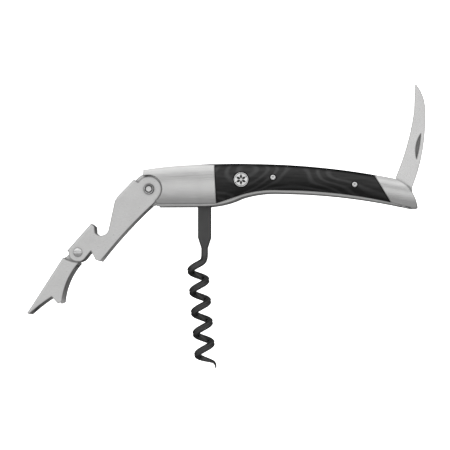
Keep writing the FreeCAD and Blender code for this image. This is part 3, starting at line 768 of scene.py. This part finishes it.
def section(centre, out, side, half_out, half_side, corners=ROUND, groove=0.0):
    """One ring of the worm, from a rounded bar to round wire grooved along its outside."""
    power = 2.0 / corners
    points = []
    for i in range(RING):
        angle = 2 * math.pi * (i / RING if i <= RING / 2 else i / RING - 1)
        across = math.copysign(abs(math.cos(angle)) ** power, math.cos(angle)) * half_out
        along = math.copysign(abs(math.sin(angle)) ** power, math.sin(angle)) * half_side
        dip = 1.0 - groove * math.exp(-(angle / GROOVE_WIDTH) ** 2)
        points.append(centre + out * (across * dip) + side * along)
    return points


def shank_rings():
    """The round-topped tang, the flat shank and its taper to the neck."""
    out, side = Vector((1, 0, 0)), Vector((0, 1, 0))

    def level(z, half, thick=SHANK_THICK, corners=SQUARE):
        return section(Vector((0, 0, z)), out, side, half, thick, corners)

    rings = [level(TANG * math.sin(angle), TANG * math.cos(angle))
             for angle in (math.radians(degrees) for degrees in TANG_LEVELS)]
    rings += [level(SHANK_END * share, SHANK_HALF) for share in SHANK_LEVELS]
    steps = 8
    for i in range(1, steps + 1):
        share = i / steps
        rings.append(level(SHANK_END + (NECK - SHANK_END) * share,
                           SHANK_HALF + (WIRE - SHANK_HALF) * share,
                           SHANK_THICK + (WIRE - SHANK_THICK) * share,
                           SQUARE + (ROUND - SQUARE) * share))
    rings.append(level(NECK_END, WIRE, WIRE, ROUND))
    return rings


def eased(begin, enter, end, leave, t):
    """Point on the cubic curve that leaves begin along enter and arrives at end along leave."""
    return (begin * (2 * t ** 3 - 3 * t ** 2 + 1) + enter * (t ** 3 - 2 * t ** 2 + t)
            + end * (3 * t ** 2 - 2 * t ** 3) + leave * (t ** 3 - t ** 2))


def wire_path():
    """Centre, outward direction and turns: the bend out of the neck, then the coil."""
    begin, end = Vector((0, 0, NECK_END)), coil_centre(LEAD_IN)
    chord = (end - begin).length
    enter = Vector((0, 0, -1)) * chord
    leave = (coil_centre(LEAD_IN + 0.01) - end).normalized() * chord
    bend_steps, coil_steps = 8, 220
    path = []
    for i in range(1, bend_steps):
        t = i / bend_steps
        outward = Vector((1, 0, 0)).lerp(radial(LEAD_IN), t)
        path.append((eased(begin, enter, end, leave, t), outward, LEAD_IN * t))
    for i in range(coil_steps + 1):
        turns = LEAD_IN + (TURNS - LEAD_IN) * i / coil_steps
        path.append((coil_centre(turns), radial(turns), turns))
    return path


def coil_rings():
    path = wire_path()
    rings = []
    for number, (centre, outward, turns) in enumerate(path):
        before = path[max(number - 1, 0)][0]
        after = path[min(number + 1, len(path) - 1)][0]
        ahead = (after - before).normalized()
        out = (outward - ahead * outward.dot(ahead)).normalized()
        left = max((TURNS - GROOVE_END - turns) / GROOVE_FADE, 0.0)
        groove = min(turns / GROOVE_RISE, 1.0, left) * GROOVE_DEPTH
        radius = wire_radius(turns)
        rings.append(section(centre, out, ahead.cross(out) * -1, radius, radius, groove=groove))
    return rings


def make_worm():
    """One closed skin from the tang's top to the point."""
    rings = shank_rings() + coil_rings()
    vertices = [point for ring in rings for point in ring]
    numbers = [range(i * RING, (i + 1) * RING) for i in range(len(rings))]
    vertices.append(sum(rings[0], Vector()) / RING)
    vertices.append(coil_centre(TURNS) + DOWNWARDS * POINT_LENGTH)
    top, point = len(vertices) - 2, len(vertices) - 1
    piece = new_piece("grooved_worm", vertices, skin([(top,), *numbers, (point,)]), COATED)
    stand_for(piece, "worm", "worm")


# ---------------------------------------------------------------- the tool

# Material and edge radius of every CAD node that keeps its own shape.
SOFTENED = {
    "left_liner": (LINER_SATIN, 0.10 * MM),
    "right_liner": (LINER_SATIN, 0.10 * MM),
    "head_block": (SATIN, 0.15 * MM),
    "back_spacer": (LINER_SATIN, 0.15 * MM),
    "lever": (LEVER_SATIN, 0.28 * MM),
    "foot": (LEVER_SATIN, 0.28 * MM),
    "worm_pin": (SPRING, 0.1 * MM),
    "blade_pin": (SPRING, 0.1 * MM),
    "spring_rivet": (SPRING, 0.1 * MM),
    "worm_spring": (SPRING, 0.15 * MM),
    "blade": (BLADE_SATIN, 0.2 * MM),
    "blade_washers": (SPRING, 0.03 * MM),
    "worm_washers": (WASHER, 0.03 * MM),
    "lever_washers": (WASHER, 0.03 * MM),
}


def dress_nodes():
    """Crown the cheeks and soften the rest."""
    for name, side in SIDES.items():
        crown_cheek(f"{name}_front_bolster", side, SATIN)
        crown_cheek(f"{name}_tail_bolster", side, SATIN)
        crown_cheek(f"{name}_scale", side, LAMINATE)
    for node, (material, radius) in SOFTENED.items():
        soften(node, material, radius)


make_fittings()
make_worm()
dress_nodes()
make_stage()
make_world()
make_lights()
make_camera()
